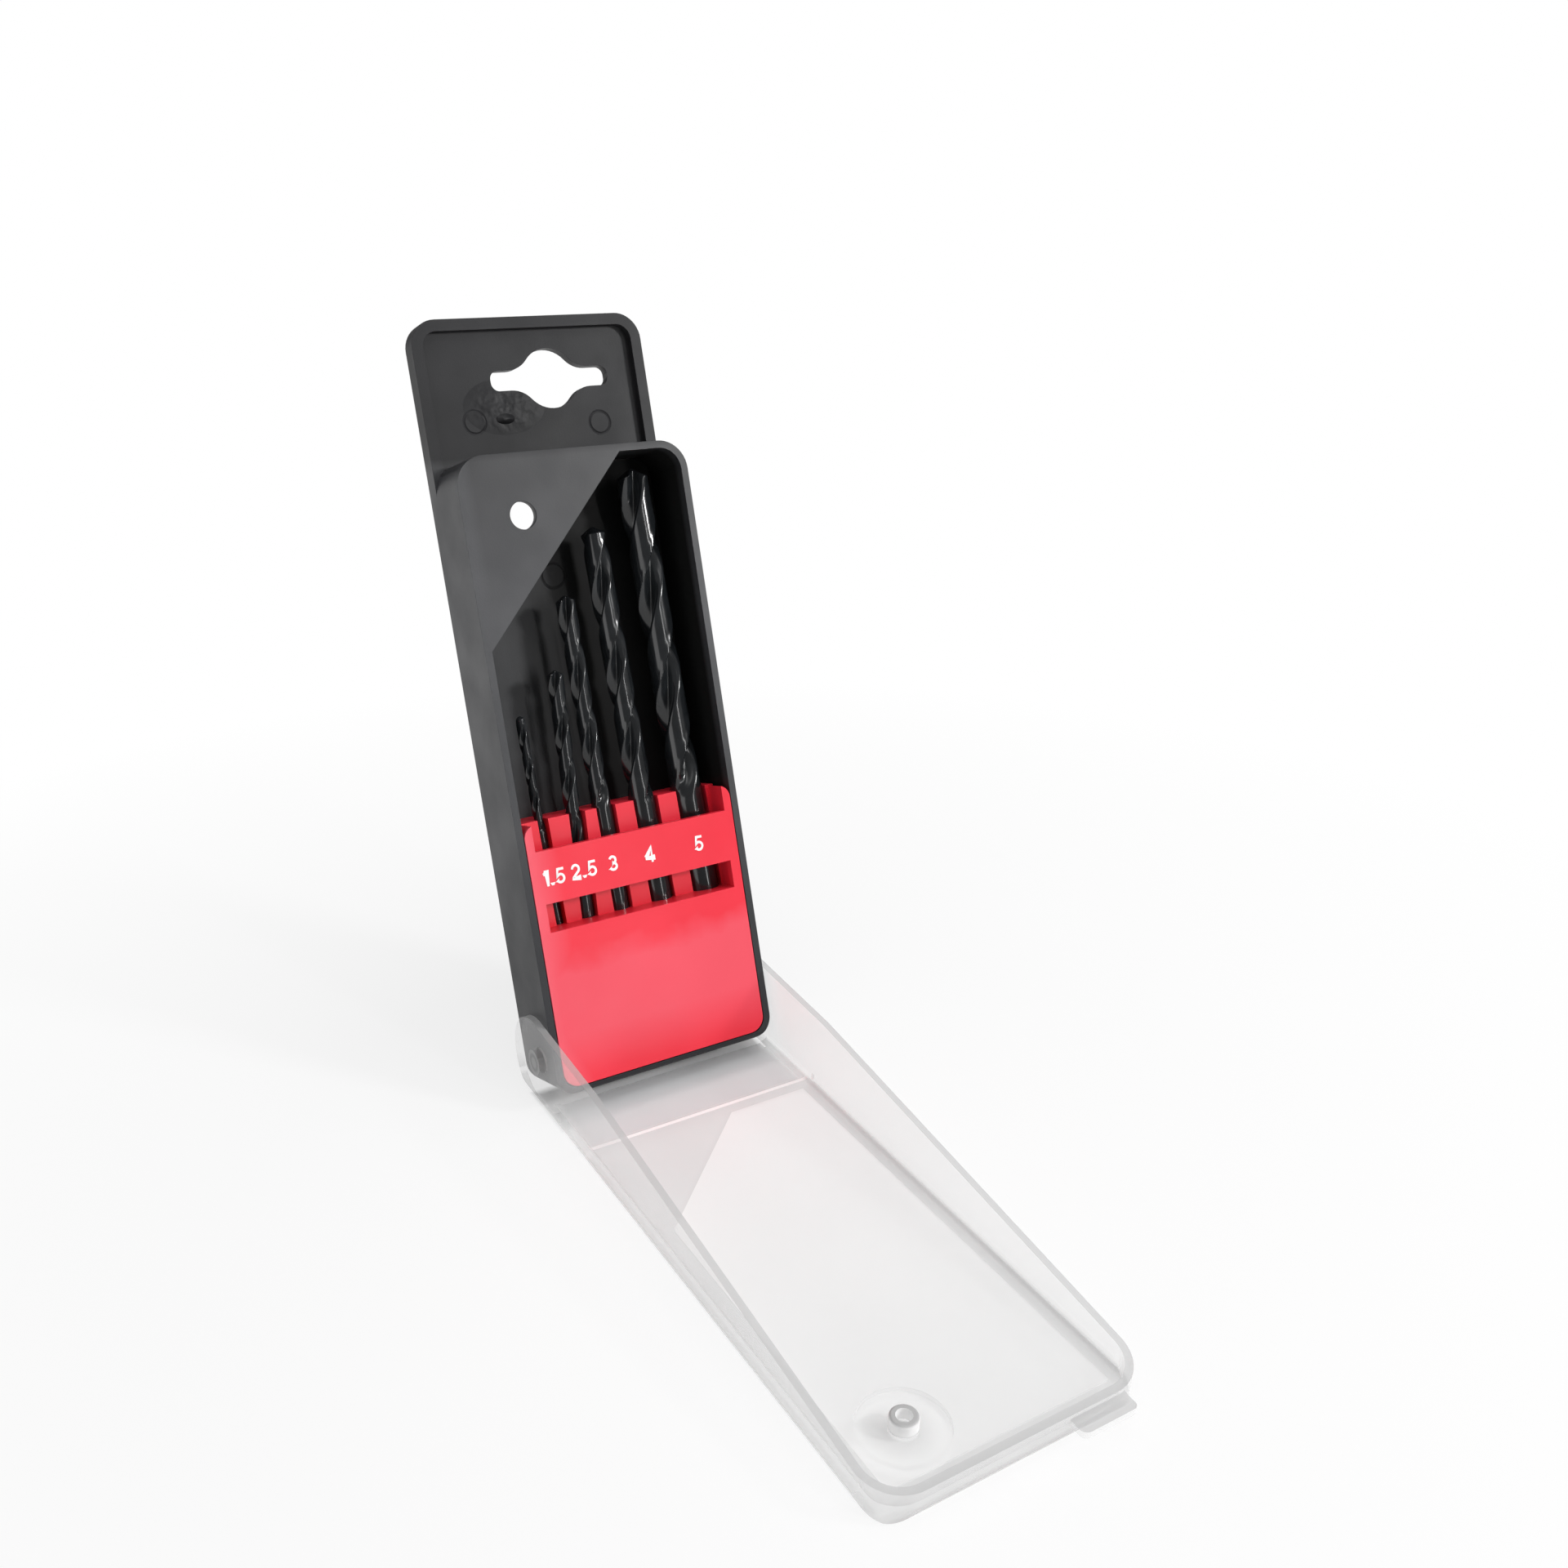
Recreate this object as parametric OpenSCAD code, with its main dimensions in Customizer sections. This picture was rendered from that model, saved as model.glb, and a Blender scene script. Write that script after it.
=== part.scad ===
// Pocket drill bit case: a moulded tray with a hang tab, a clear lid hinged at its foot,
// a pressed-in holder and five twist drills. It is drawn open and standing, lid flat on the ground.
// Origin: the middle of the lid's underside. +Z is up, and the lid points along -Y.

/* [Tray] */
// Width of the tray
tray_w = 37; // [36:0.5:44]
// Height of the tray without its hang tab
tray_h = 94.5; // [94:0.5:110]
// Depth of the tray from its rim to its back
tray_d = 12; // [11.5:0.25:16]
// Thickness of the tray's side, top and bottom walls
tray_wall = 1.1; // [0.9:0.1:1.4]
// Thickness of the tray's floor, at its back
tray_floor = 1.1; // [0.8:0.1:1.6]
// Corner radius of the tray at the top
tray_top_r = 4.5; // [3:0.25:6]
// Corner radius of the tray at the foot
tray_foot_r = 3.5; // [2.5:0.25:5]
// Rounding of the tray's bottom edge at the front
front_edge_r = 1.2; // [1:0.1:1.6]
// Rounding of the tray's bottom edge at the back, its heel
heel_r = 0.8; // [0.5:0.1:1.2]

/* [Platform in the upper left corner] */
// How far the platform reaches from the left side along the top
platform_w = 27; // [22:0.5:28]
// How far the platform reaches down the left side
platform_h = 28.9; // [24:0.1:32]
// Thickness of the platform's skin
platform_skin = 1.3; // [1:0.1:1.8]
// Diameter of the snap hole in the platform
snap_hole_d = 4.1; // [3.5:0.1:5]
// Distance of the snap hole from the tray's left side
snap_x = 9.2; // [8:0.1:11]
// Distance of the snap hole from the tray's top
snap_drop = 9; // [8:0.1:11]

/* [Hang tab] */
// Height of the hang tab above the tray
tab_h = 21; // [19:0.5:26]
// Thickness of the tab's plate
tab_t = 1.6; // [1.2:0.1:2.2]
// Width of the bead round the tab
bead_w = 1.7; // [1.2:0.1:2.4]
// Height of the bead in front of the tab's plate
bead_h = 1.3; // [0.8:0.1:1.8]
// Corner radius of the tab
tab_r = 4; // [3:0.25:6]
// Full width of the hang slot
slot_w = 19.2; // [17:0.2:21]
// Height of the hang slot's arms
slot_arm_h = 3; // [2.4:0.1:3.6]
// Radius of the hang slot's round middle
slot_r = 4.5; // [4:0.1:5]
// Fillet between the round middle and the arms
slot_fillet = 4; // [2.5:0.25:4.5]
// Height of the slot's middle above the tray
slot_z = 11.9; // [11:0.1:13]
// How far the slot sits right of the tray's middle
slot_shift = 2.8; // [1:0.1:4]

/* [Hinge] */
// Height of the hinge axis above the tray's bottom
hinge_z = 5.2; // [5:0.05:5.5]
// Diameter of the hinge pins
pin_d = 4; // [3:0.1:5]
// Running clearance round a hinge pin
pin_clearance = 0.08; // [0.03:0.01:0.1]

/* [Lid] */
// Thickness of the lid's side and end walls
lid_wall = 1.05; // [0.9:0.05:1.4]
// Thickness of the lid's floor
lid_floor = 1.6; // [1.4:0.05:2]
// Height of the raised panel on the lid's floor
panel_rise = 0.3; // [0.2:0.05:0.5]
// Gap between the tray and the inside of the lid, all round
lid_gap = 0.25; // [0.2:0.05:0.4]
// Height of the rim at the lid's free end
rim_end_h = 4.3; // [3.8:0.1:5.5]
// How much lower the rim is at its knee than over the hinge
knee_drop = 1; // [0.6:0.1:1.5]
// Distance of the knee from the hinge axis
knee_y = 20; // [16:1:30]
// Rounding of the lid's bottom edges
lid_edge_r = 1.9; // [1.5:0.1:2]
// Length of the sunk floor next to the hinge
sunk_len = 11.5; // [9:0.5:14]
// Depth of the sunk floor next to the hinge
sunk_depth = 0.4; // [0.2:0.05:0.5]
// Diameter of the shallow dish round the snap knob
dish_d = 11.6; // [10:0.2:13]
// Radial clearance of the snap knob in its hole
snap_clearance = 0.2; // [0.15:0.05:0.3]
// Width of the thumb lip
lip_w = 8.5; // [6:0.5:10]
// Reach of the thumb lip past the free end
lip_reach = 2.6; // [1.5:0.1:3.5]
// Thickness of the thumb lip
lip_t = 1.3; // [1:0.1:1.6]

/* [Drill holder] */
// Clearance between the holder and the tray
holder_fit = 0.15; // [0.1:0.05:0.3]
// Wall thickness of the holder
holder_wall = 1.3; // [1:0.1:1.6]
// Height of the holder's ears above the tray's bottom
holder_top = 41; // [40:0.5:46]
// Height of the front band's top edge above the tray's bottom
band_top = 37; // [35:0.5:38]
// Height of the window's top edge above the tray's bottom
window_top = 29.1; // [27.5:0.1:31]
// Height of the window's bottom edge above the tray's bottom
window_bottom = 24.8; // [22:0.1:26]
// Distance from the rim to the face between the drills
divider_y = 4.2; // [3.6:0.1:4.8]
// Wall round each drill socket
sleeve_wall = 0.9; // [0.7:0.05:1.1]
// Diameter of the pips that clip the holder into the tray
pip_d = 2.4; // [2:0.1:3]
// Height of the clip pips above the tray's bottom
pip_z = 33; // [30:0.5:35]

/* [Drills] */
// Diameters of the five drills
drill_d = [1.5, 2.5, 3, 4, 5]; // [1:0.1:6]
// Full lengths of the five drills
drill_len = [40, 57, 61, 75, 86]; // [30:1:90]
// Lengths of their flutes
flute_len = [18, 30, 33, 43, 52]; // [12:1:60]
// Places of their sockets across the tray, as shares of its width
drill_place = [0.178378, 0.282432, 0.459459, 0.652703, 0.866216]; // [0.1:0.001:0.9]
// Heights of the socket floors above the tray's bottom
seat_z = [16.6, 5.5, 12.3, 8, 5.1]; // [4:0.1:20]
// Lean of each socket to the right, in degrees
lean = [-1.2, 2, -1, -1.5, -1.3]; // [-2:0.1:2]
// Distance from the rim to the plane of the drill axes
drill_y = 5.8; // [5.5:0.05:6]
// Running clearance round a drill shank in its socket
shank_clearance = 0.1; // [0.05:0.01:0.15]
// Length of one full turn of a flute, in drill diameters
flute_pitch = 5.6; // [5:0.1:6.5]
// Point angle of the drills, in degrees
point_angle = 118; // [110:1:135]
// Thickness of a drill's core, as a share of its diameter
web_share = 0.24; // [0.18:0.01:0.3]

/* [Hidden] */
$fn = 64;
eps = 0.01;
far = 200;

// Closed, the lid's underside lies this far in front of the tray's rim
lid_under = lid_gap + panel_rise + lid_floor;
// The hinge axis is halfway through the closed case, so the ears are half discs of that radius
hinge_y = (tray_d - lid_under) / 2;
hinge_up = hinge_y + lid_under;
// The tray opens until its heel stands on the ground beside the lid
heel_up = hinge_z - heel_r;
open_angle = 180 - 2 * atan(heel_up / (hinge_up - heel_r));
tray_lean = open_angle - 90;

lid_inner_w = tray_w + 2 * lid_gap;
lid_w = lid_inner_w + 2 * lid_wall;
lid_reach = tray_h - hinge_z + lid_gap + lid_wall;
origin_y = lid_reach / 2;
rim_hinge_h = 2 * hinge_up;
lid_r = tray_top_r + lid_gap + lid_wall;

// The tray's front edge swings past the end of the lid's floor
swing_r = sqrt(pow(hinge_y - front_edge_r, 2) + pow(hinge_z - front_edge_r, 2)) + front_edge_r;
floor_start = sqrt(pow(swing_r + lid_gap, 2) - pow(hinge_up - lid_floor, 2));
sunk_end = floor_start + sunk_len;

left = -tray_w / 2;
snap_place = [left + snap_x, tray_h - snap_drop];
holder_foot = tray_wall + holder_fit;
holder_w = tray_w - 2 * holder_foot;
holder_d = tray_d - tray_floor - holder_fit;
recess_r = tray_foot_r - tray_wall;
// How far two pieces of one moulding run into each other
bite = 0.5;
// How far the pins stay short of the inside of the tray's walls
pin_short = 0.1;
// Round ends of the slot's arms, as a share of their height
slot_end_share = 0.42;
// Raised panel: its distance from the lid's sides, from the sunk floor and from the free end
panel_inset = 2.4;
panel_near = 3.2;
panel_end = 2.6;
// The corner cut off the panel, across and along the lid
panel_cut = [20, 19];
// The sunk floor and the holder's window start this far inside the walls
sunk_inset = 1.2;
window_inset = 1.6;
// Edge rounding and wall of the hollow snap knob
knob_round = 0.4;
knob_wall = 0.8;
// Thumb lip: distance from the lid's right side, drop below the rim, and the hollow in its top
lip_inset = 4.6;
lip_drop = 0.2;
lip_hollow = 0.45;
lip_hollow_r = 6;
lip_corner_r = 1;
// Radius of the holder's ears
ear_r = 2;
// The clip pips stand this far into their dimples
pip_reach = 0.35;
// Points round a fluted section, and sections in one turn of a flute
ring_points = 20;
turn_rings = 24;
point_rings = 3;
// Run-out of a flute in drill radii, chisel edge as a share of the core,
// and bevel of a shank's end as a share of the diameter
runout_share = 3;
chisel_share = 0.4;
bevel_share = 0.08;

// A rectangle from corner to corner with its own radius at the foot and at the top
module round_rect(x0, z0, x1, z1, foot_r, top_r) {
    for (side = [[x0, 1], [x1, -1]])
        for (corner = [[z0, 1, foot_r], [z1, -1, top_r]])
            translate([side[0] + side[1] * corner[2], corner[0] + corner[1] * corner[2]])
                circle(corner[2]);
    translate([x0 + foot_r, z0]) square([x1 - x0 - 2 * foot_r, z1 - z0 - top_r]);
    translate([x0 + top_r, z0 + foot_r]) square([x1 - x0 - 2 * top_r, z1 - z0 - foot_r]);
    translate([x0, z0 + foot_r]) square([x1 - x0, z1 - z0 - foot_r - top_r]);
}

// Extrudes a front view, drawn in x and z, from y0 back to y1
module front_view(y0, y1) {
    translate([0, y1, 0]) rotate([90, 0, 0]) linear_extrude(y1 - y0) children();
}

// Extrudes a side view, drawn in y and z, evenly about the middle
module side_view(width) {
    rotate([90, 0, 90]) translate([0, 0, -width / 2]) linear_extrude(width) children();
}

// Everything fixed to the tray is drawn upright with the rim at y = 0, then leaned back here
module open_tray() {
    translate([0, origin_y, hinge_up])
        rotate([-tray_lean, 0, 0])
            translate([0, -hinge_y, -hinge_z]) children();
}

module tray_outline() {
    round_rect(left, 0, -left, tray_h, tray_foot_r, tray_top_r);
}

module tray_inside() {
    side = left + tray_wall;
    round_rect(side, tray_wall, -side, tray_h - tray_wall, recess_r, tray_top_r - tray_wall);
}

// Corner triangle of the platform, moved out along its diagonal by the given amount
module platform_corner(grow) {
    slope_len = sqrt(platform_w * platform_w + platform_h * platform_h);
    wide = platform_w + grow * slope_len / platform_h;
    high = platform_h + grow * slope_len / platform_w;
    polygon([[left, tray_h], [left + wide, tray_h], [left, tray_h - high]]);
}

module tray_side_profile() {
    translate([front_edge_r, front_edge_r]) circle(front_edge_r);
    translate([tray_d - heel_r, heel_r]) circle(heel_r);
    translate([front_edge_r, 0]) square([tray_d - front_edge_r - heel_r, tray_h]);
    translate([0, front_edge_r]) square([front_edge_r, tray_h - front_edge_r]);
    translate([tray_d - heel_r - eps, heel_r]) square([heel_r + eps, tray_h - heel_r]);
}

module slot_outline() {
    fillet_x = sqrt(pow(slot_r + slot_fillet, 2) - pow(slot_arm_h / 2 + slot_fillet, 2));
    fillet_z = slot_arm_h / 2 + slot_fillet;
    touch = slot_r / (slot_r + slot_fillet);
    end_r = slot_arm_h * slot_end_share;
    circle(slot_r);
    round_rect(-slot_w / 2, -slot_arm_h / 2, slot_w / 2, slot_arm_h / 2, end_r, end_r);
    for (x = [-1, 1])
        for (z = [-1, 1])
            difference() {
                polygon([
                    [0, 0],
                    [x * fillet_x, 0],
                    [x * fillet_x, z * slot_arm_h / 2],
                    [x * fillet_x * touch, z * fillet_z * touch]
                ]);
                translate([x * fillet_x, z * fillet_z]) circle(slot_fillet);
            }
}

module hang_tab() {
    low = tray_h - tray_top_r;
    high = tray_h + tab_h;
    difference() {
        union() {
            front_view(tray_d - tab_t, tray_d) round_rect(left, low, -left, high, eps, tab_r);
            difference() {
                front_view(tray_d - tab_t - bead_h, tray_d - tab_t + eps)
                    round_rect(left, low, -left, high, eps, tab_r);
                front_view(0, tray_d - tab_t)
                    round_rect(left + bead_w, 0, -left - bead_w, high - bead_w, eps, tab_r - bead_w);
            }
        }
        translate([slot_shift, 0, tray_h + slot_z]) front_view(0, tray_d + 1) slot_outline();
    }
}

module tray_moulding() {
    difference() {
        union() {
            intersection() {
                front_view(0, tray_d) tray_outline();
                side_view(tray_w) tray_side_profile();
            }
            hang_tab();
        }
        // recess for the drills and their holder
        front_view(-1, tray_d - tray_floor) difference() {
            tray_inside();
            platform_corner(0);
        }
        // the platform is hollow and open at the back
        front_view(platform_skin, tray_d + 1) intersection() {
            tray_inside();
            platform_corner(-tray_wall);
        }
        translate([snap_place[0], -1, snap_place[1]]) rotate([-90, 0, 0])
            cylinder(h = platform_skin + 2, d = snap_hole_d);
        // bores for the hinge pins
        translate([left - 1, hinge_y, hinge_z]) rotate([0, 90, 0])
            cylinder(h = tray_w + 2, d = pin_d + 2 * pin_clearance);
        // dimples for the holder's clip pips
        translate([0, holder_d / 2, pip_z]) rotate([0, 90, 0])
            cylinder(
                h = holder_w + 2 * (pip_reach + 2 * holder_fit),
                d = pip_d + 2 * holder_fit,
                center = true
            );
    }
}

module tray() {
    color([0.10, 0.10, 0.11]) open_tray() tray_moulding();
}

// Side view of the lid: y runs from the free end to the ears, z up from the ground
module lid_side_profile() {
    translate([0, hinge_up]) circle(hinge_up);
    difference() {
        polygon([
            [-lid_reach, 0],
            [0, 0],
            [0, rim_hinge_h],
            [-knee_y, rim_hinge_h - knee_drop],
            [-lid_reach, rim_end_h]
        ]);
        difference() {
            translate([-lid_reach - 1, -1]) square(lid_edge_r + 1);
            translate([-lid_reach + lid_edge_r, lid_edge_r]) circle(lid_edge_r);
        }
    }
}

// Plan of the lid, grown outwards by the given amount
module lid_plan(grow) {
    half = lid_inner_w / 2 + grow;
    end = lid_reach - lid_wall + grow;
    r = lid_r - lid_wall + grow;
    round_rect(-half, -end, half, rim_hinge_h, r, r);
}

// Cross section of the lid, grown outwards by the given amount
module lid_section(grow, bottom) {
    half = lid_inner_w / 2 + grow;
    r = lid_edge_r - lid_wall + grow;
    round_rect(-half, bottom, half, far, r, eps);
}

module lid_panel_outline() {
    side = lid_inner_w / 2 - panel_inset;
    near = sunk_end + panel_near;
    end = lid_reach - lid_wall - panel_end;
    polygon([
        [-side + panel_cut[0], -near],
        [side, -near],
        [side, -end],
        [-side, -end],
        [-side, -near - panel_cut[1]]
    ]);
}

module snap_knob() {
    top = lid_under + platform_skin;
    knob_r = snap_hole_d / 2 - snap_clearance;
    rotate_extrude() difference() {
        union() {
            translate([0, lid_floor - sunk_depth - bite])
                square([knob_r, top - knob_round - lid_floor + sunk_depth + bite]);
            translate([0, top - knob_round - eps]) square([knob_r - knob_round, knob_round + eps]);
            translate([knob_r - knob_round, top - knob_round]) circle(knob_round);
        }
        translate([-eps, lid_floor]) square([knob_r - knob_wall + eps, top]);
    }
}

module thumb_lip() {
    right = lid_w / 2 - lip_inset;
    end = lid_reach + lip_reach;
    top = rim_end_h - lip_drop;
    difference() {
        translate([0, 0, top - lip_t]) linear_extrude(lip_t)
            round_rect(right - lip_w, -end, right, bite - lid_reach, lip_corner_r, eps);
        // the lip's top is a shallow hollow for the thumb
        translate([0, lip_reach / 2 - end, top + lip_hollow_r - lip_hollow]) rotate([0, 90, 0])
            cylinder(h = far, r = lip_hollow_r, center = true);
    }
}

module lid_moulding() {
    boss = [snap_place[0], -(snap_place[1] - hinge_z)];
    difference() {
        intersection() {
            linear_extrude(far) lid_plan(lid_wall);
            side_view(lid_w) lid_side_profile();
            front_view(-far, far) lid_section(lid_wall, 0);
        }
        intersection() {
            translate([0, 0, lid_floor]) linear_extrude(far) lid_plan(0);
            front_view(-far, far) lid_section(0, lid_floor);
        }
        // room for the tray's foot to swing between the ears
        translate([-lid_inner_w / 2, -floor_start, -1]) cube([lid_inner_w, far, far]);
        // sunk floor next to the hinge
        translate([-lid_inner_w / 2 + sunk_inset, -sunk_end, lid_floor - sunk_depth])
            cube([lid_inner_w - 2 * sunk_inset, sunk_len + 1, far]);
        translate([boss[0], boss[1], lid_floor - sunk_depth]) cylinder(h = far, d = dish_d);
    }
    difference() {
        translate([0, 0, lid_floor - eps]) linear_extrude(panel_rise + eps) lid_panel_outline();
        translate([boss[0], boss[1], 0]) cylinder(h = far, d = dish_d);
    }
    translate([boss[0], boss[1], 0]) snap_knob();
    thumb_lip();
    // hinge pins, standing inwards from the ears
    for (side = [-1, 1])
        translate([side * lid_w / 2, 0, hinge_up]) rotate([0, -side * 90, 0])
            translate([0, 0, bite])
                cylinder(h = lid_wall - bite + lid_gap + tray_wall - pin_short, d = pin_d);
}

module lid() {
    color([0.86, 0.88, 0.89, 0.5]) translate([0, origin_y, 0]) lid_moulding();
}

// Places its children on the axis of drill i, with z = 0 at the socket's floor
module at_socket(i) {
    translate([left + drill_place[i] * tray_w, drill_y, seat_z[i]])
        rotate([0, lean[i], 0]) children();
}

module socket_bore(i) {
    r = drill_d[i] / 2 + shank_clearance;
    at_socket(i) cylinder(h = far, r = r);
    // above the ledge the sockets are open to the front
    intersection() {
        at_socket(i) translate([-r, -drill_y, 0]) cube([2 * r, drill_y, far]);
        translate([left, divider_y - 1, window_bottom - eps]) cube([tray_w, drill_y, far]);
    }
}

module holder_moulding() {
    right = holder_w / 2;
    ledge = window_bottom - holder_wall;
    cap = holder_top - holder_wall;
    difference() {
        union() {
            // front plate and band
            front_view(0, holder_wall) intersection() {
                round_rect(-right, holder_foot, right, holder_top, recess_r, ear_r);
                translate([-right, 0]) square([holder_w, band_top]);
            }
            // side walls and bottom
            front_view(0, holder_d) difference() {
                round_rect(-right, holder_foot, right, holder_top, recess_r, ear_r);
                translate([-right + holder_wall, holder_foot + holder_wall])
                    square([holder_w - 2 * holder_wall, far]);
            }
            // divider face, ledge and cap
            translate([bite - right, divider_y, ledge])
                cube([holder_w - 2 * bite, holder_wall, holder_top - ledge]);
            translate([bite - right, bite, ledge])
                cube([holder_w - 2 * bite, holder_d - bite, holder_wall]);
            translate([bite - right, divider_y, cap])
                cube([holder_w - 2 * bite, holder_d - divider_y, holder_wall]);
            for (i = [0 : len(drill_d) - 1])
                intersection() {
                    at_socket(i) translate([0, 0, -holder_wall])
                        cylinder(h = far, r = drill_d[i] / 2 + shank_clearance + sleeve_wall);
                    translate([-right, bite, holder_foot])
                        cube([holder_w, holder_d - bite, holder_top - holder_foot]);
                    union() {
                        translate([-right, divider_y, holder_foot]) cube([holder_w, far, far]);
                        translate([-right, 0, holder_foot]) cube([holder_w, far, ledge - holder_foot + eps]);
                    }
                }
            // clip pips
            for (side = [-1, 1])
                translate([side * (right - bite), holder_d / 2, pip_z]) rotate([0, side * 90, 0])
                    cylinder(h = bite + holder_fit + pip_reach, d1 = pip_d, d2 = pip_d / 2);
        }
        for (i = [0 : len(drill_d) - 1]) socket_bore(i);
        translate([window_inset - right, -1, window_bottom])
            cube([holder_w - 2 * window_inset, holder_wall + 2, window_top - window_bottom]);
        // the space between the band and the divider face
        translate([holder_wall - right, holder_wall, window_bottom])
            cube([holder_w - 2 * holder_wall, divider_y - holder_wall, far]);
    }
}

module drill_holder() {
    color([0.85, 0.13, 0.18]) open_tray() holder_moulding();
}

// Radius of the fluted section at angle a, as a share of the drill's radius
function flute_share(a) = let (
    t = ((a % 180) + 180) % 180,
    groove = t > 100 ? 0 : pow(sin(180 * pow(t / 100, 0.75)), 0.8)
) 1 - (1 - web_share) * groove;

function fade(x) = x <= 0 ? 0 : x >= 1 ? 1 : x * x * (3 - 2 * x);

// One ring of points round the drill at height z above the start of the flutes
function flute_ring(r, z, long, turn) = let (
    depth = fade(z / (runout_share * r)),
    cone = (long - z) * tan(point_angle / 2) + chisel_share * web_share * r
) [
    for (k = [0 : ring_points - 1]) let (
        a = 360 * k / ring_points,
        body = r * (1 - depth * (1 - flute_share(a))),
        reach = min(body, cone)
    ) [reach * cos(a + turn), reach * sin(a + turn), z]
];

module fluted_part(d, long) {
    r = d / 2 - eps;
    point_len = (r - chisel_share * web_share * r) / tan(point_angle / 2);
    body_rings = ceil((long - point_len) / (flute_pitch * d) * turn_rings);
    body_step = (long - point_len) / body_rings;
    heights = concat(
        [for (k = [0 : body_rings]) k * body_step],
        [for (k = [1 : point_rings]) long - point_len * (1 - k / point_rings)]
    );
    rings = [for (z = heights) flute_ring(r, z, long, 360 * z / (flute_pitch * d))];
    count = len(heights);
    n = ring_points;
    walls = [
        for (j = [0 : count - 2])
            for (k = [0 : n - 1]) let (next = (k + 1) % n)
                for (face = [
                    [j * n + k, (j + 1) * n + k, (j + 1) * n + next],
                    [j * n + k, (j + 1) * n + next, j * n + next]
                ]) face
    ];
    caps = [[for (k = [0 : n - 1]) k], [for (k = [n - 1 : -1 : 0]) (count - 1) * n + k]];
    points = [for (ring = rings) for (p = ring) p];
    polyhedron(points = points, faces = concat(walls, caps), convexity = 10);
}

module drill(i) {
    d = drill_d[i];
    shank = drill_len[i] - flute_len[i];
    bevel = bevel_share * d;
    color([0.13, 0.13, 0.14]) open_tray() at_socket(i) translate([0, 0, shank_clearance]) {
        cylinder(h = bevel, d1 = d - 2 * bevel, d2 = d);
        translate([0, 0, bevel]) cylinder(h = shank - bevel, d = d);
        translate([0, 0, shank - eps]) fluted_part(d, flute_len[i] + eps);
    }
}

module drill_1_5() { drill(0); }
module drill_2_5() { drill(1); }
module drill_3() { drill(2); }
module drill_4() { drill(3); }
module drill_5() { drill(4); }

tray();
lid();
drill_holder();
drill_1_5();
drill_2_5();
drill_3();
drill_4();
drill_5();
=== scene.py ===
"""Looks of the pocket drill bit case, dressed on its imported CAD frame. Metres, +Z up."""

import math

import bmesh
import bpy
from mathutils import Matrix, Vector

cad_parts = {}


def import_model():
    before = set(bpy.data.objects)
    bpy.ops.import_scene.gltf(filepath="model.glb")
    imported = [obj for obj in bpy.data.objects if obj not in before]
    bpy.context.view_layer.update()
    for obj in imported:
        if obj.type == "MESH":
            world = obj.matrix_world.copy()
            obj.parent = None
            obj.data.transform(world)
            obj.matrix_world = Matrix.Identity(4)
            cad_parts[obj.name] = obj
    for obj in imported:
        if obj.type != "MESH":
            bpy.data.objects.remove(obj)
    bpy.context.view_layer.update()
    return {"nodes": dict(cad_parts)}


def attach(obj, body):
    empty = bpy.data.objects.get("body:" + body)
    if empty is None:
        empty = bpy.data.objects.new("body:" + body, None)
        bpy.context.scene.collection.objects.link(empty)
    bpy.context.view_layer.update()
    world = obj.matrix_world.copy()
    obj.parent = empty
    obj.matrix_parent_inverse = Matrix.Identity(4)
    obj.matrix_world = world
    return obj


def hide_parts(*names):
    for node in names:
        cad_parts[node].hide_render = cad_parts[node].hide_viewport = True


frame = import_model()
MM = 0.001

# The tray's own frame, in mm: x from its left side, y back from its rim, z up from its bottom.
# The lid's own frame is the row's, also in mm.
TRAY_W, TRAY_H = 37.0, 94.5
HINGE_Y, HINGE_Z = 4.925, 5.2
HINGE_UP, ORIGIN_Y = 7.075, 45.3
OPEN_ANGLE = 109.924
LEAN = math.radians(OPEN_ANGLE - 90)
TO_ROW = (
    Matrix.Translation((0, ORIGIN_Y * MM, HINGE_UP * MM))
    @ Matrix.Rotation(-LEAN, 4, "X")
    @ Matrix.Translation((-TRAY_W / 2 * MM, -HINGE_Y * MM, -HINGE_Z * MM))
)


def put(name, data):
    """A new object in the scene."""
    obj = bpy.data.objects.new(name, data)
    bpy.context.scene.collection.objects.link(obj)
    return obj


def mesh_object(name, bm):
    mesh = bpy.data.meshes.new(name)
    bm.to_mesh(mesh)
    bm.free()
    return put(name, mesh)


def grey(value):
    return (value, value, value)


# -------------------------------------------------------------- node trees


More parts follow.
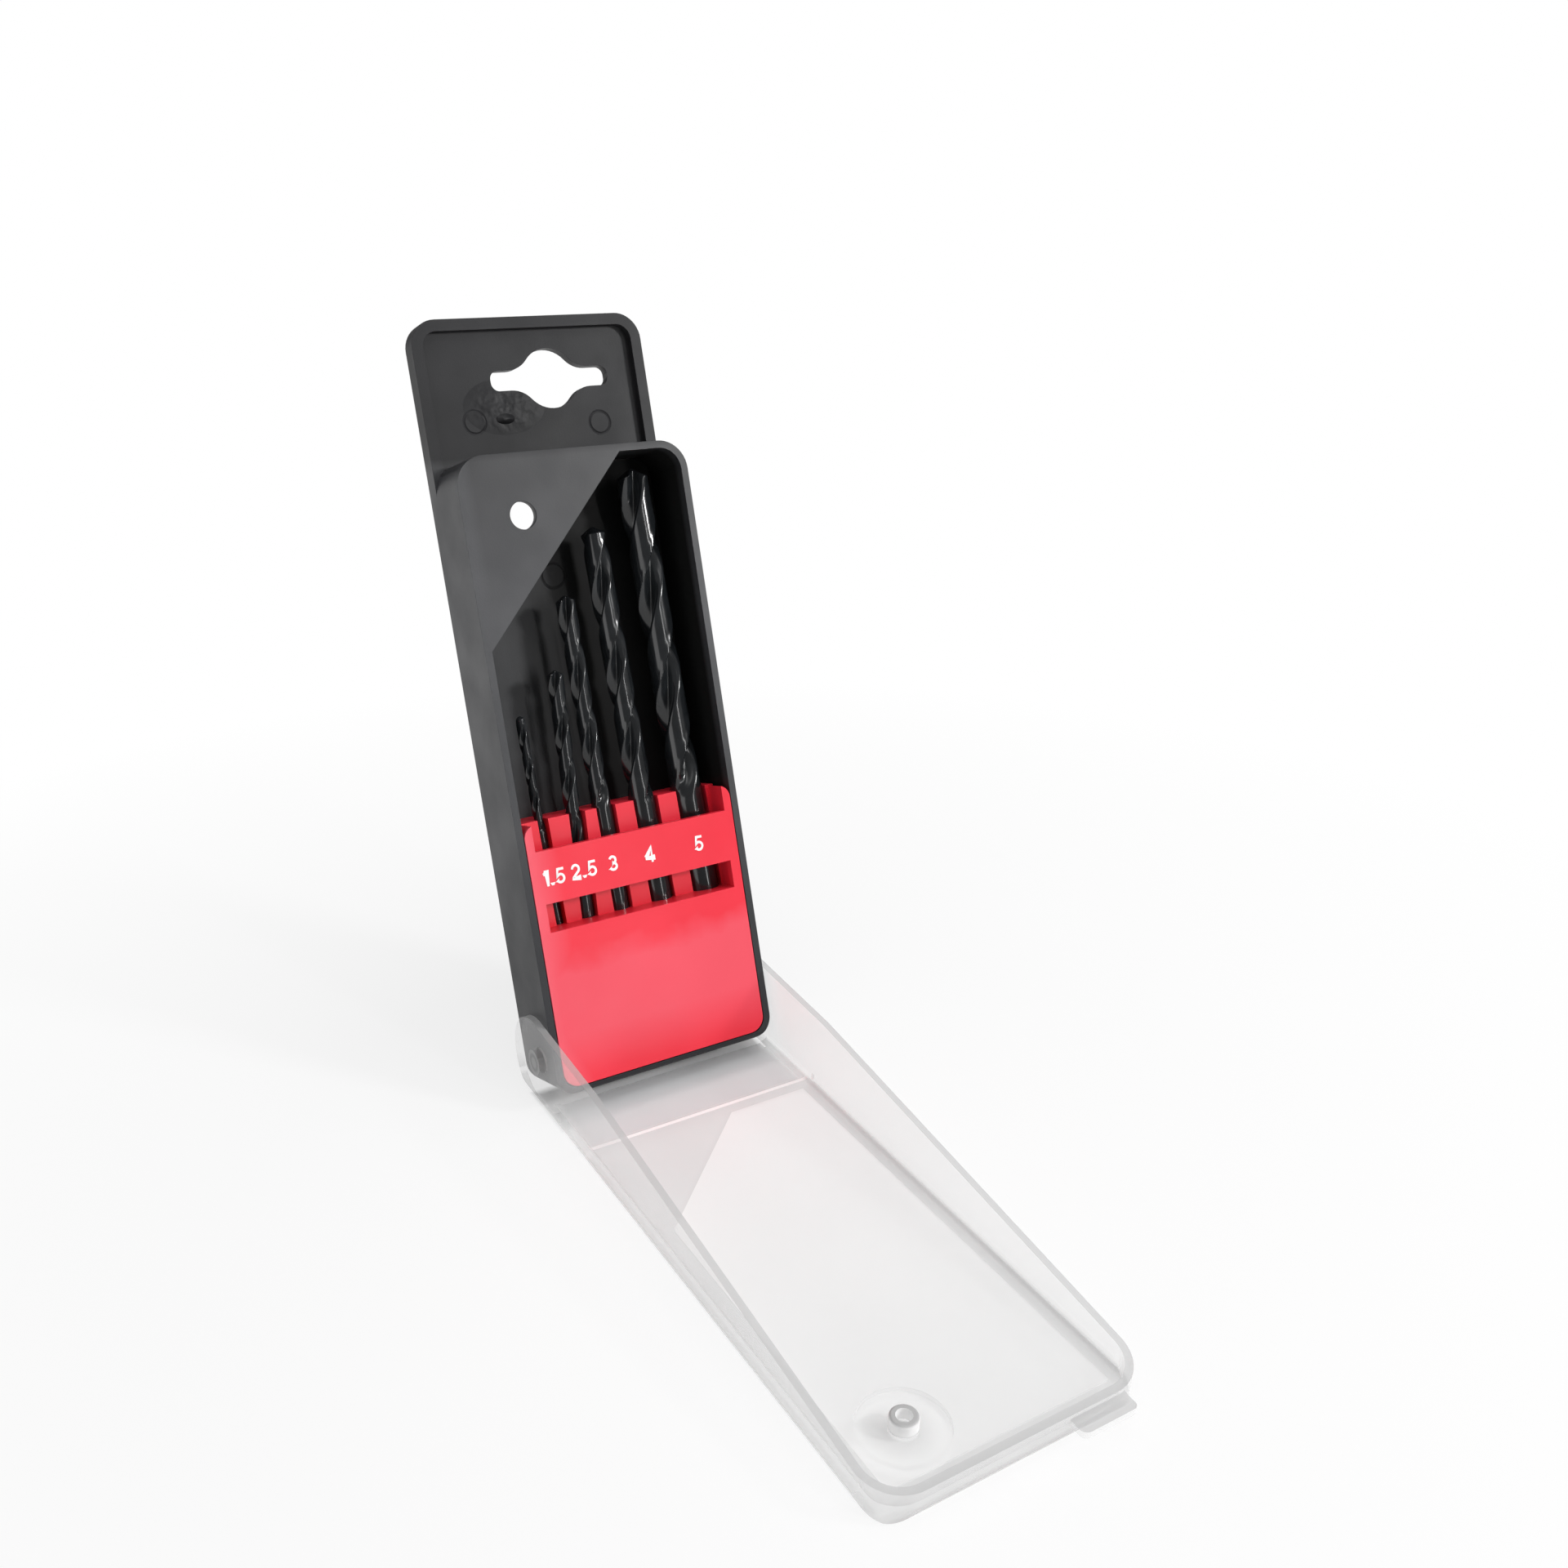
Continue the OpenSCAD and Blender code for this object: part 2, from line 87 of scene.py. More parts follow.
class Tree:
    """A node tree, with short ways to add nodes and join them."""

    def __init__(self, tree):
        self.tree = tree

    def link(self, source, target):
        self.tree.links.new(source, target)

    def add(self, kind, links=None, **values):
        node = self.tree.nodes.new(kind)
        for key, value in values.items():
            if hasattr(node, key):
                setattr(node, key, value)
            else:
                node.inputs[key].default_value = value
        for key, source in (links or {}).items():
            self.link(source, node.inputs[key])
        return node

    def math(self, kind, *sources):
        node = self.add("ShaderNodeMath", operation=kind)
        for socket, source in zip(node.inputs, sources):
            if isinstance(source, (int, float)):
                socket.default_value = source
            else:
                self.link(source, socket)
        return node.outputs["Value"]

    def chain(self, kind, first, *others):
        for other in others:
            first = self.math(kind, first, other)
        return first

    def times(self, *sources):
        return self.chain("MULTIPLY", *sources)

    def plus(self, *sources):
        return self.chain("ADD", *sources)

    def most(self, *sources):
        return self.chain("MAXIMUM", *sources)

    def levels(self, source, low, high, to_low, to_high):
        """to_low up to the value low, to_high from the value high on, and even between."""
        node = self.add("ShaderNodeMapRange", {"Value": source})
        names = ("From Min", "From Max", "To Min", "To Max")
        for key, value in zip(names, (low, high, to_low, to_high)):
            node.inputs[key].default_value = value
        return node.outputs["Result"]

    def rise(self, source, low, high):
        return self.levels(source, low, high, 0.0, 1.0)

    def fall(self, source, low, high):
        return self.levels(source, low, high, 1.0, 0.0)

    def band(self, source, low, high, soft):
        """1 between low and high, fading to 0 over the given distance outside."""
        return self.times(self.rise(source, low - soft, low), self.fall(source, high, high + soft))

    def split(self, vector):
        node = self.add("ShaderNodeSeparateXYZ", {"Vector": vector})
        return node.outputs["X"], node.outputs["Y"], node.outputs["Z"]

    def away(self, one, two, centre):
        """Distance from a centre, measured along two axes."""
        da = self.math("SUBTRACT", one, centre[0])
        db = self.math("SUBTRACT", two, centre[1])
        return self.math("SQRT", self.plus(self.times(da, da), self.times(db, db)))

    def spot(self, x, z, centre, size):
        """1 at a centre in the tray's front view, fading to 0 at the given half sizes."""
        dx = self.math("DIVIDE", self.math("SUBTRACT", x, centre[0]), size[0])
        dz = self.math("DIVIDE", self.math("SUBTRACT", z, centre[1]), size[1])
        return self.fall(self.plus(self.times(dx, dx), self.times(dz, dz)), 0.0, 1.0)

    def circle_line(self, x, z, centre, radius, width):
        """1 on a circle in the tray's front view, 0 half a width away from it."""
        off = self.math("ABSOLUTE", self.math("SUBTRACT", self.away(x, z, centre), radius))
        return self.fall(off, 0.0, width / 2)

    def noise(self, vector, scale, detail):
        node = self.add("ShaderNodeTexNoise", {"Vector": vector}, Scale=scale, Detail=detail)
        return node.outputs["Fac"]

    def mix(self, factor, one, two):
        """From colour one at 0 to colour two at 1; each is a socket or three numbers."""
        node = self.add("ShaderNodeMix", data_type="RGBA")
        self.link(factor, node.inputs[0])
        for socket, source in ((node.inputs[6], one), (node.inputs[7], two)):
            if isinstance(source, tuple):
                socket.default_value = (*source, 1)
            else:
                self.link(source, socket)
        return node.outputs[2]

    def two_tone(self, source, one, two, low=0.3, high=0.7):
        """Colour one up to the value low and colour two from the value high on."""
        node = self.add("ShaderNodeValToRGB", {"Fac": source})
        for element, at, colour in zip(node.color_ramp.elements, (low, high), (one, two)):
            element.position = at
            element.color = (*colour, 1)
        return node.outputs["Color"]

    def show(self, factor, one, two, output):
        """Mixes two shaders into a tree's output."""
        mixed = self.add("ShaderNodeMixShader", {0: factor, 1: one, 2: two}).outputs[0]
        self.link(mixed, self.tree.nodes[output].inputs["Surface"])


class Look(Tree):
    """A new material, with its shader."""

    def __init__(self, name):
        self.mat = bpy.data.materials.new(name)
        self.mat.use_nodes = True
        super().__init__(self.mat.node_tree)
        self.shader = self.tree.nodes["Principled BSDF"]

    def set(self, **values):
        for key, value in values.items():
            self.shader.inputs[key.replace("_", " ")].default_value = value

    def join(self, source, target):
        self.link(source, self.shader.inputs[target])

    def place(self):
        return self.add("ShaderNodeTexCoord").outputs["Object"]

    def tray_place(self):
        """Places in the tray's own frame, in mm."""
        node = self.add("ShaderNodeMapping", {"Vector": self.place()}, vector_type="TEXTURE")
        node.inputs["Location"].default_value = TO_ROW.to_translation()
        node.inputs["Rotation"].default_value = TO_ROW.to_euler()
        node.inputs["Scale"].default_value = (MM, MM, MM)
        return node.outputs["Vector"]

    def row_place(self):
        """Places in the row frame, in mm."""
        node = self.add("ShaderNodeVectorMath", {0: self.place()}, operation="SCALE")
        node.inputs["Scale"].default_value = 1 / MM
        return node.outputs["Vector"]

    def bump(self, height, distance, strength, normal=None):
        node = self.add("ShaderNodeBump", {"Height": height}, Strength=strength, Distance=distance)
        if normal is not None:
            self.link(normal, node.inputs["Normal"])
        return node.outputs["Normal"]


# --------------------------------------------------------------- materials

# The recess, where shade is painted, in the tray's own frame, and a depth between the forward
# faces and the back
RECESS_X, RECESS_Y, RECESS_Z = (1.1, 36.0), (2.2, 11.2), (1.2, 93.3)
FACE_Y = (11.2, 11.5)
# Flow marks of the moulding beside the hang slot: centre and half size
FLOW = ((13.2, 102.6), (6.5, 4.2))
FLOW_CORE = ((13.1, 100.8), (1.5, 0.8))
# Ring marks of the ejector pins on the tab and the recess floor: centre and radius
EJECTORS = (((8.2, 100.6), 1.7), ((28.5, 99.3), 1.7), ((16.9, 76.8), 1.9))
EJECTOR_LINE = 0.45


def black_plastic():
    n = Look("tray_black_plastic")
    n.set(IOR=1.5)
    place = n.place()
    x, y, z = n.split(n.tray_place())
    cloud = n.noise(place, 60, 4)
    skin = n.two_tone(cloud, (0.030, 0.031, 0.034), (0.052, 0.053, 0.058))
    # painted shade: darker towards the foot and on the upper platform
    skin = n.mix(n.levels(z, 8.0, 55.0, 0.55, 0.0), skin, (0.006, 0.006, 0.008))
    high = n.times(n.levels(z, 68.0, 90.0, 0.0, 0.55), n.rise(x, 1.0, 2.5))
    skin = n.mix(high, skin, (0.010, 0.010, 0.011))
    # the tab is darker and duller; painted shade: the recess is near black, darkest towards its
    # right wall, whose shadow falls there
    tab = n.rise(z, TRAY_H - 1, TRAY_H + 1)
    skin = n.mix(tab, skin, n.two_tone(cloud, (0.011, 0.011, 0.012), (0.021, 0.021, 0.023)))
    deep = n.times(
        n.band(x, *RECESS_X, 0.15),
        n.band(z, *RECESS_Z, 0.2),
        n.band(y, *RECESS_Y, 1.2),
        n.levels(x, 7.0, 20.0, 0.45, 1.0),
    )
    n.join(n.mix(deep, skin, grey(0.010)), "Base Color")
    # less sheen on the tab, and as painted shade less towards the foot and in the recess
    shine = n.times(
        n.levels(tab, 0.0, 1.0, 0.42, 0.22),
        n.levels(z, 8.0, 60.0, 0.55, 1.0),
        n.levels(deep, 0.0, 1.0, 1.0, 0.2),
    )
    n.join(shine, "Specular IOR Level")
    n.join(n.levels(n.noise(place, 130, 5), 0.3, 0.7, 0.4, 0.5), "Roughness")
    normal = n.bump(n.noise(place, 4200, 2), 0.00002, 0.4)
    # the marks of the moulding lie on the forward faces only
    fore = n.fall(y, *FACE_Y)
    flow = n.times(n.noise(place, 420, 2), n.times(n.spot(x, z, *FLOW), fore))
    normal = n.bump(flow, 0.0007, 0.9, normal)
    normal = n.bump(n.times(n.spot(x, z, *FLOW_CORE), fore), 0.0006, 1.0, normal)
    for centre, radius in EJECTORS:
        ring = n.times(n.circle_line(x, z, centre, radius, EJECTOR_LINE), fore)
        normal = n.bump(ring, -0.00012, 0.8, normal)
    n.join(normal, "Normal")
    return n.mat


def red_plastic():
    n = Look("holder_red_plastic")
    n.set(IOR=1.5, Specular_IOR_Level=0.25)
    place = n.place()
    x, y, z = n.split(n.tray_place())
    body = n.two_tone(n.noise(place, 70, 3), (0.76, 0.020, 0.040), (0.82, 0.027, 0.052))
    # painted reflection: the front is paler at its left side and on the broad lower face,
    # where the upper edge of the pale sheen is uneven
    front = n.fall(y, 0.3, 0.9)
    uneven = n.math("MULTIPLY_ADD", n.noise(place, 190, 2), 5.0, z)
    lower = n.times(n.fall(uneven, 20.6, 24.2), n.rise(z, 2.0, 9.0), front, 0.45)
    left = n.times(n.fall(x, 1.3, 6.0), front, 0.6)
    n.join(n.mix(n.most(lower, left), body, (0.84, 0.14, 0.19)), "Base Color")
    n.join(n.levels(n.noise(place, 160, 4), 0.2, 0.8, 0.26, 0.4), "Roughness")
    n.join(n.bump(n.noise(place, 70, 1), 0.00006, 0.2), "Normal")
    return n.mat


# Places on the lid in its own frame: the two ends of each mask's soft edge, or the band that it
# fills. Half widths are measured from the middle, and radii from the knob or the hinge.
KNOB = (-9.3, -35.0)
KNOB_R, KNOB_Z, KNOB_SHADE_R, DISH_R = (1.9, 2.1), (1.7, 1.9), (2.1, 2.4), (5.7, 5.9)
FLOOR_Z, PANEL_HALF_W, PANEL_Z = (2.1, 2.4), (16.3, 16.5), (1.76, 2.0)
SUNK_HALF_W, SUNK_Y, SUNK_Z = (17.2, 17.6), (29.0, 29.6), (1.3, 1.45)
STEP_Y, STEP_Z = (28.55, 29.05), (1.15, 1.75)
RIM_Z, SIDE_HALF_W, FRONT_Y, FOOT_END_Y = (2.7, 3.0), (17.5, 18.3), (-43.2, -42.4), (28.0, 29.0)
PIN_R, PIN_RING_R = (1.9, 2.05), (1.0, 1.3)


def clear_plastic():
    n = Look("lid_frosted_plastic")
    n.set(IOR=1.46, Specular_IOR_Level=0.3)
    place = n.place()
    x, y, z = n.split(n.row_place())
    wide = n.math("ABSOLUTE", x)
    upward = n.split(n.add("ShaderNodeNewGeometry").outputs["Normal"])[2]
    cloud = n.noise(place, 38, 4)
    skin = n.two_tone(cloud, grey(0.94), grey(0.98))
    # painted shade: the floor is a little greyer than the walls
    low = n.fall(z, *FLOOR_Z)
    flat = n.times(low, n.rise(upward, 0.4, 0.8))
    skin = n.mix(flat, skin, n.two_tone(cloud, grey(0.65), grey(0.73)))
    # the raised panel and the dish are whiter than the rest of the floor, with painted shade that
    # deepens towards the front
    away = n.away(x, y, KNOB)
    panel = n.times(n.fall(wide, *PANEL_HALF_W), n.band(z, *PANEL_Z, 0.08))
    panel = n.most(panel, n.times(n.fall(away, *DISH_R), flat))
    fading = n.two_tone(n.rise(y, -40.0, 10.0), grey(0.84), grey(0.97), 0.0, 1.0)
    skin = n.mix(panel, skin, fading)
    # painted shadow: the sunk floor at the hinge is the greyest, where the tray's shadow falls,
    # and a painted highlight makes a bright line where it steps up
    sunk = n.times(n.fall(z, *SUNK_Z), n.rise(y, *SUNK_Y), n.fall(wide, *SUNK_HALF_W))
    skin = n.mix(sunk, skin, (0.6, 0.6, 0.61))
    step = n.times(n.band(y, *STEP_Y, 0.15), n.band(z, *STEP_Z, 0.1))
    skin = n.mix(step, skin, grey(0.98))
    # painted shade: the rims, the thumb lip and the corner between floor and walls are painted
    # darkest
    rim = n.times(n.rise(z, *RIM_Z), n.rise(upward, 0.3, 0.8))
    foot = n.times(
        n.most(n.rise(wide, *SIDE_HALF_W), n.fall(y, *FRONT_Y)),
        n.levels(y, *FOOT_END_Y, 0.8, 0.0),
        low,
        n.levels(upward, 0.1, 0.5, 0.0, 0.5),
    )
    dark = n.most(rim, foot)
    skin = n.mix(dark, skin, grey(0.46))
    # a soft shaded ring round the snap knob
    ring = n.times(n.band(away, *KNOB_SHADE_R, 2.6), flat)
    skin = n.mix(n.times(ring, 0.4), skin, grey(0.45))
    # painted shade: the solid pins moulded on the ears are greyer than the thin walls, with a
    # darker painted ring of shade
    axis = n.away(y, z, (ORIGIN_Y, HINGE_UP))
    pin = n.fall(axis, *PIN_R)
    skin = n.mix(pin, skin, grey(0.5))
    skin = n.mix(n.times(n.band(axis, *PIN_RING_R, 0.3), 0.6), skin, grey(0.25))
    n.join(skin, "Base Color")
    # seen edge on, the plastic hides more of what is behind it, and it does so too where it
    # lies flat, at the dark corners and rims, at the pins and the step, and at the knob
    edge = n.add("ShaderNodeLayerWeight", Blend=0.35).outputs["Facing"]
    veil = n.times(n.levels(edge, 0.25, 1.0, 0.14, 0.44), n.levels(y, 36.0, 42.0, 1.0, 0.65))
    knob = n.times(n.fall(away, *KNOB_R), n.rise(z, *KNOB_Z))
    more = n.plus(
        n.times(flat, 0.3),
        n.times(dark, 0.35),
        n.times(n.most(pin, step), 0.4),
        n.times(knob, 0.6),
    )
    n.join(n.math("MINIMUM", n.plus(veil, more), 1.0), "Alpha")
    n.join(n.levels(n.noise(place, 220, 5), 0.2, 0.8, 0.3, 0.5), "Roughness")
    n.join(n.bump(n.noise(place, 900, 3), 0.00003, 0.3), "Normal")
    return n.mat


def black_steel():
    n = Look("drill_black_oxide")
    n.set(IOR=1.5, Specular_IOR_Level=0.55)
    place = n.place()
    cloud = n.noise(place, 300, 4)
    skin = n.two_tone(cloud, (0.006, 0.007, 0.008), (0.014, 0.016, 0.018), 0.3, 0.75)
    n.join(skin, "Base Color")
    n.join(n.levels(n.noise(place, 500, 3), 0.3, 0.7, 0.13, 0.19), "Roughness")
    n.join(n.bump(n.noise(place, 900, 1), 0.000004, 0.2), "Normal")
    return n.mat


def white_print():
    n = Look("white_print")
    n.set(Roughness=0.5)
    worn = n.noise(n.place(), 1500, 3)
    n.join(n.two_tone(worn, (0.82, 0.78, 0.79), (0.93, 0.92, 0.92), 0.35, 0.6), "Base Color")
    return n.mat


TRAY = black_plastic()
HOLDER = red_plastic()
LID = clear_plastic()
STEEL = black_steel()
PRINT = white_print()


# ---------------------------------------------------------------- mouldings

# Points nearer than WELD, in metres, become one, and so do faces that meet within FLAT_ANGLE,
# in degrees. Edges sharper than EDGE_ANGLE are rounded.
WELD, FLAT_ANGLE = 2e-5, 0.6
EDGE_ANGLE, EDGE_SEGMENTS = 40, 2


def dress(node, material, bevel):
    """Gives a CAD node its material and small rounded edges, in mm."""
    obj = frame["nodes"][node]
    obj.data.materials.clear()
    obj.data.materials.append(material)
    for poly in obj.data.polygons:
        poly.use_smooth = True
    weld = obj.modifiers.new("weld", "WELD")
    weld.merge_threshold = WELD
    flat = obj.modifiers.new("flat", "DECIMATE")
    flat.decimate_type = "DISSOLVE"
    flat.angle_limit = math.radians(FLAT_ANGLE)
    edge = obj.modifiers.new("edge", "BEVEL")
    edge.width = bevel * MM
    edge.segments = EDGE_SEGMENTS
    edge.limit_method = "ANGLE"
    edge.angle_limit = math.radians(EDGE_ANGLE)
    edge.use_clamp_overlap = True
    normals = obj.modifiers.new("normals", "WEIGHTED_NORMAL")
    normals.keep_sharp = False


dress("tray", TRAY, 0.16)
dress("drill_holder", HOLDER, 0.14)
dress("lid", LID, 0.1)


# ------------------------------------------------------------------- drills

# Diameter, length, flute length, flute pitch in diameters, the socket's x and its floor's z,
# and the drill's lean and roll in degrees
DRILLS = {
    "drill_1_5": (1.5, 40, 18, 6.8, 6.6, 16.6, -1.2, 40),
    "drill_2_5": (2.5, 57, 30, 6.4, 10.45, 5.5, 2.0, 100),
    "drill_3": (3.0, 61, 33, 6.8, 17.0, 12.3, -1.0, 20),
    "drill_4": (4.0, 75, 43, 6.2, 24.15, 8.0, -1.5, 70),
    "drill_5": (5.0, 86, 52, 6.2, 32.05, 5.1, -1.3, 0),
}
DRILL_Y, SEAT_GAP = 5.8, 0.1
# The web as a share of the radius, the arc of one flute in degrees, and half the point's angle
WEB, FLUTE_ARC, POINT = 0.3, 76.0, math.radians(59.0)
# How far a flute leans to one side and how round it is, as powers of a sine's curve
FLUTE_SKEW, FLUTE_ROUND = 0.8, 0.85
# The body's share of the radius, and where its full margin starts and how soon, in degrees
BODY, MARGIN_AT, MARGIN_RISE = 0.975, 160, 8
# The shank's bevel in diameters, the flutes' run-out in radii, the chisel as a share of the web
SHANK_BEVEL, RUN_OUT, CHISEL = 0.08, 2.6, 0.4
# Points round a drill, rings in one turn of the flutes and up the point, and the angle in
# degrees from which an edge stays sharp
ROUND_POINTS, TURN_RINGS, POINT_RINGS, DRILL_SHARP = 72, 72, 10, 42


def fade(x):
    x = min(max(x, 0.0), 1.0)
    return x * x * (3 - 2 * x)


def flute_share(a):
    """Radius of a two-flute drill at angle a in degrees, as a share of its own."""
    t = a % 180
    if t < FLUTE_ARC:
        dip = math.sin(math.pi * (t / FLUTE_ARC) ** FLUTE_SKEW) ** FLUTE_ROUND
        return 1 - (1 - WEB) * dip
    return BODY + (1 - BODY) * fade((t - MARGIN_AT) / MARGIN_RISE)


def drill_rings(d, length, flute, pitch):
    """Heights up a drill, each with its radii all round."""
    r = d / 2
    bevel = SHANK_BEVEL * d
    rings = []
    for height, radius in ((0, r - bevel), (bevel, r), (length - flute, r)):
        rings.append((height, [radius] * ROUND_POINTS))
    chisel = CHISEL * WEB * r
    point = (r - chisel) / math.tan(POINT)
    steps = int(flute / pitch * TURN_RINGS)
    heights = [flute * k / steps for k in range(1, steps + 1)]
    heights = [height for height in heights if height < flute - point]
    heights += [flute - point * (1 - k / POINT_RINGS) for k in range(POINT_RINGS + 1)]
    for height in heights:
        depth = fade(height / (RUN_OUT * r))
        cone = (flute - height) * math.tan(POINT) + chisel
        turn = 360 * height / pitch
        ring = []
        for k in range(ROUND_POINTS):
            share = flute_share(360 * k / ROUND_POINTS - turn)
            ring.append(min(r * (1 - depth * (1 - share)), cone))
        rings.append((length - flute + height, ring))
    return rings


def twist_drill(name, spec):
    d, length, flute, turn_share, x, z, tilt, roll = spec
    bm = bmesh.new()
    verts = []
    for height, radii in drill_rings(d, length, flute, turn_share * d):
        row = []
        for k, radius in enumerate(radii):
            a = 2 * math.pi * k / ROUND_POINTS
            row.append(bm.verts.new((radius * math.cos(a), radius * math.sin(a), height)))
        verts.append(row)
    for low, high in zip(verts, verts[1:]):
        for k in range(ROUND_POINTS):
            n = (k + 1) % ROUND_POINTS
            bm.faces.new((low[k], low[n], high[n], high[k]))
    bm.faces.new(list(reversed(verts[0])))
    bm.faces.new(verts[-1])
    bm.transform(
        TO_ROW
        @ Matrix.Translation((x * MM, DRILL_Y * MM, (z + SEAT_GAP) * MM))
        @ Matrix.Rotation(math.radians(tilt), 4, "Y")
        @ Matrix.Rotation(math.radians(roll), 4, "Z")
        @ Matrix.Scale(MM, 4)
    )
    obj = mesh_object("twist_" + name, bm)
    for poly in obj.data.polygons:
        poly.use_smooth = True
    obj.data.set_sharp_from_angle(angle=math.radians(DRILL_SHARP))
    obj.data.materials.append(STEEL)
    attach(obj, name)
    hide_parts(name)


for drill_name, drill_spec in DRILLS.items():
    twist_drill(drill_name, drill_spec)


# ------------------------------------------------- size figures on the band

# Each figure and its middle's x in the tray's own frame
FIGURES = (("1.5", 4.75), ("2.5", 9.6), ("3", 14.4), ("4", 20.6), ("5", 29.1))
# The middle's z, the height, the thickness and the gap to the band, in mm
FIGURE_Z, FIGURE_H, FIGURE_T, FIGURE_GAP = 32.9, 2.4, 0.05, 0.01
# A stroke's width and the gap between signs in shares of the height, the share of their width
# that signs keep, and how much higher each further stroke stands, in shares of the thickness
STROKE, DIGIT_GAP, FIGURE_WIDE, STROKE_RISE = 0.16, 0.18, 0.92, 0.1
# Least cosine at a stroke's bends, which keeps a sharp corner's spike short
MITRE = 0.45


def arc(cx, cy, rx, ry, start, end, steps=14):
    turns = [math.radians(start + (end - start) * k / steps) for k in range(steps + 1)]
    return [(cx + rx * math.cos(a), cy + ry * math.sin(a)) for a in turns]


# Middle lines of the strokes of each sign and its width, in shares of the signs' height
SIGNS = {
    "1": (([(0.32, 0.0), (0.32, 1.0)], [(0.06, 0.745), (0.3, 0.84)]), 0.4),
    "2": (
        (arc(0.33, 0.665, 0.245, 0.245, 175, -35) + [(0.12, 0.16), (0.1, 0.09), (0.66, 0.09)],),
        0.67,
    ),
    "3": (
        (
            arc(0.32, 0.7, 0.22, 0.21, 160, -80) + [(0.27, 0.51)],
            [(0.27, 0.51)] + arc(0.32, 0.3, 0.25, 0.21, 82, -162),
        ),
        0.67,
    ),
    "4": (([(0.5, 0.0), (0.5, 0.94), (0.08, 0.33)], [(0.0, 0.28), (0.73, 0.28)]), 0.73),
    "5": (
        ([(0.62, 0.91), (0.19, 0.91), (0.11, 0.47)] + arc(0.33, 0.33, 0.26, 0.25, 140, -160),),
        0.68,
    ),
    ".": (([(0.08, 0.0), (0.08, 0.17)],), 0.16),
}


def stroke(bm, path, wide, deep):
    """A flat bar of one width along a path, as a closed solid."""
    rows = []
    for k, (x, y) in enumerate(path):
        before, after = path[max(k - 1, 0)], path[min(k + 1, len(path) - 1)]
        into, out = Vector((x - before[0], y - before[1])), Vector((after[0] - x, after[1] - y))
        into, out = (into or out).normalized(), (out or into).normalized()
        along = (into + out).normalized()
        reach = wide / 2 / max(along.dot(out), MITRE)
        side = Vector((-along.y, along.x)) * reach
        rows.append(
            [
                bm.verts.new((x + side.x * s, y + side.y * s, z))
                for s, z in ((1, deep), (-1, deep), (-1, 0), (1, 0))
            ]
        )
    for one, two in zip(rows, rows[1:]):
        for k in range(4):
            n = (k + 1) % 4
            bm.faces.new((one[k], one[n], two[n], two[k]))
    bm.faces.new(rows[0])
    bm.faces.new(list(reversed(rows[-1])))


def figure(text, x):
    """One size figure: white print, a little proud of the band, each stroke its own height."""
    bm = bmesh.new()
    at = 0.0
    for sign in text:
        paths, wide = SIGNS[sign]
        for k, path in enumerate(paths):
            stroke(bm, [(at + px, py) for px, py in path], STROKE, 1 + STROKE_RISE * k)
        at += wide + DIGIT_GAP
    middle = (at - DIGIT_GAP) / 2
    bmesh.ops.recalc_face_normals(bm, faces=bm.faces)
    bm.transform(
        TO_ROW
        @ Matrix.Translation((x * MM, -FIGURE_GAP * MM, FIGURE_Z * MM))
        @ Matrix.Rotation(math.radians(90), 4, "X")
        @ Matrix.Diagonal((FIGURE_H * FIGURE_WIDE * MM, FIGURE_H * MM, FIGURE_T * MM, 1))
        @ Matrix.Translation((-middle, -0.5, 0))
    )
    obj = mesh_object("figure_" + text.replace(".", "_"), bm)
    obj.data.materials.append(PRINT)
    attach(obj, "tray")


for words, place in FIGURES:
    figure(words, place)


# ------------------------------------------------- floor, lights and camera

WHITE = (1, 1, 1, 1)
FLOOR_HALF, FLOOR_DROP = 4.0, 0.0003
# The floor's own light at the case and far from it, and the distances between which it grows
NEAR_GLOW, FAR_GLOW, NEAR, FAR = 0.76, 1.0, 0.08, 0.22
# The place under the tray's foot that only the lamps light: middle, half sizes and soft edge
FOOT_Y, FOOT_HALF_X, FOOT_HALF_Y, FOOT_SOFT = 0.0425, 0.018, 0.0045, 0.0015


def floor_white():
    n = Look("floor_white")
    n.set(Base_Color=(0.86, 0.86, 0.86, 1), Roughness=0.9, Specular_IOR_Level=0.0)
    place = n.place()
    # seen directly, mirrored or through the lid, the floor is white and keeps only a pale shadow
    path = n.add("ShaderNodeLightPath").outputs
    seen = n.most(path["Is Camera Ray"], path["Is Transmission Ray"], path["Is Glossy Ray"])
    distance = n.add("ShaderNodeVectorMath", {0: place}, operation="LENGTH").outputs["Value"]
    share = n.levels(distance, NEAR, FAR, NEAR_GLOW, FAR_GLOW)
    x, y, _ = n.split(place)
    side = n.math("ABSOLUTE", x)
    depth = n.math("ABSOLUTE", n.math("SUBTRACT", y, FOOT_Y))
    outside = n.most(
        n.rise(side, FOOT_HALF_X, FOOT_HALF_X + FOOT_SOFT),
        n.rise(depth, FOOT_HALF_Y, FOOT_HALF_Y + FOOT_SOFT),
    )
    glow = n.add("ShaderNodeEmission").outputs[0]
    factor = n.times(seen, n.times(share, outside))
    n.show(factor, n.shader.outputs[0], glow, "Material Output")
    return n.mat


def stage_floor():
    bm = bmesh.new()
    bmesh.ops.create_grid(bm, x_segments=4, y_segments=4, size=FLOOR_HALF)
    obj = mesh_object("floor", bm)
    obj.location.z = -FLOOR_DROP
    obj.data.materials.append(floor_white())


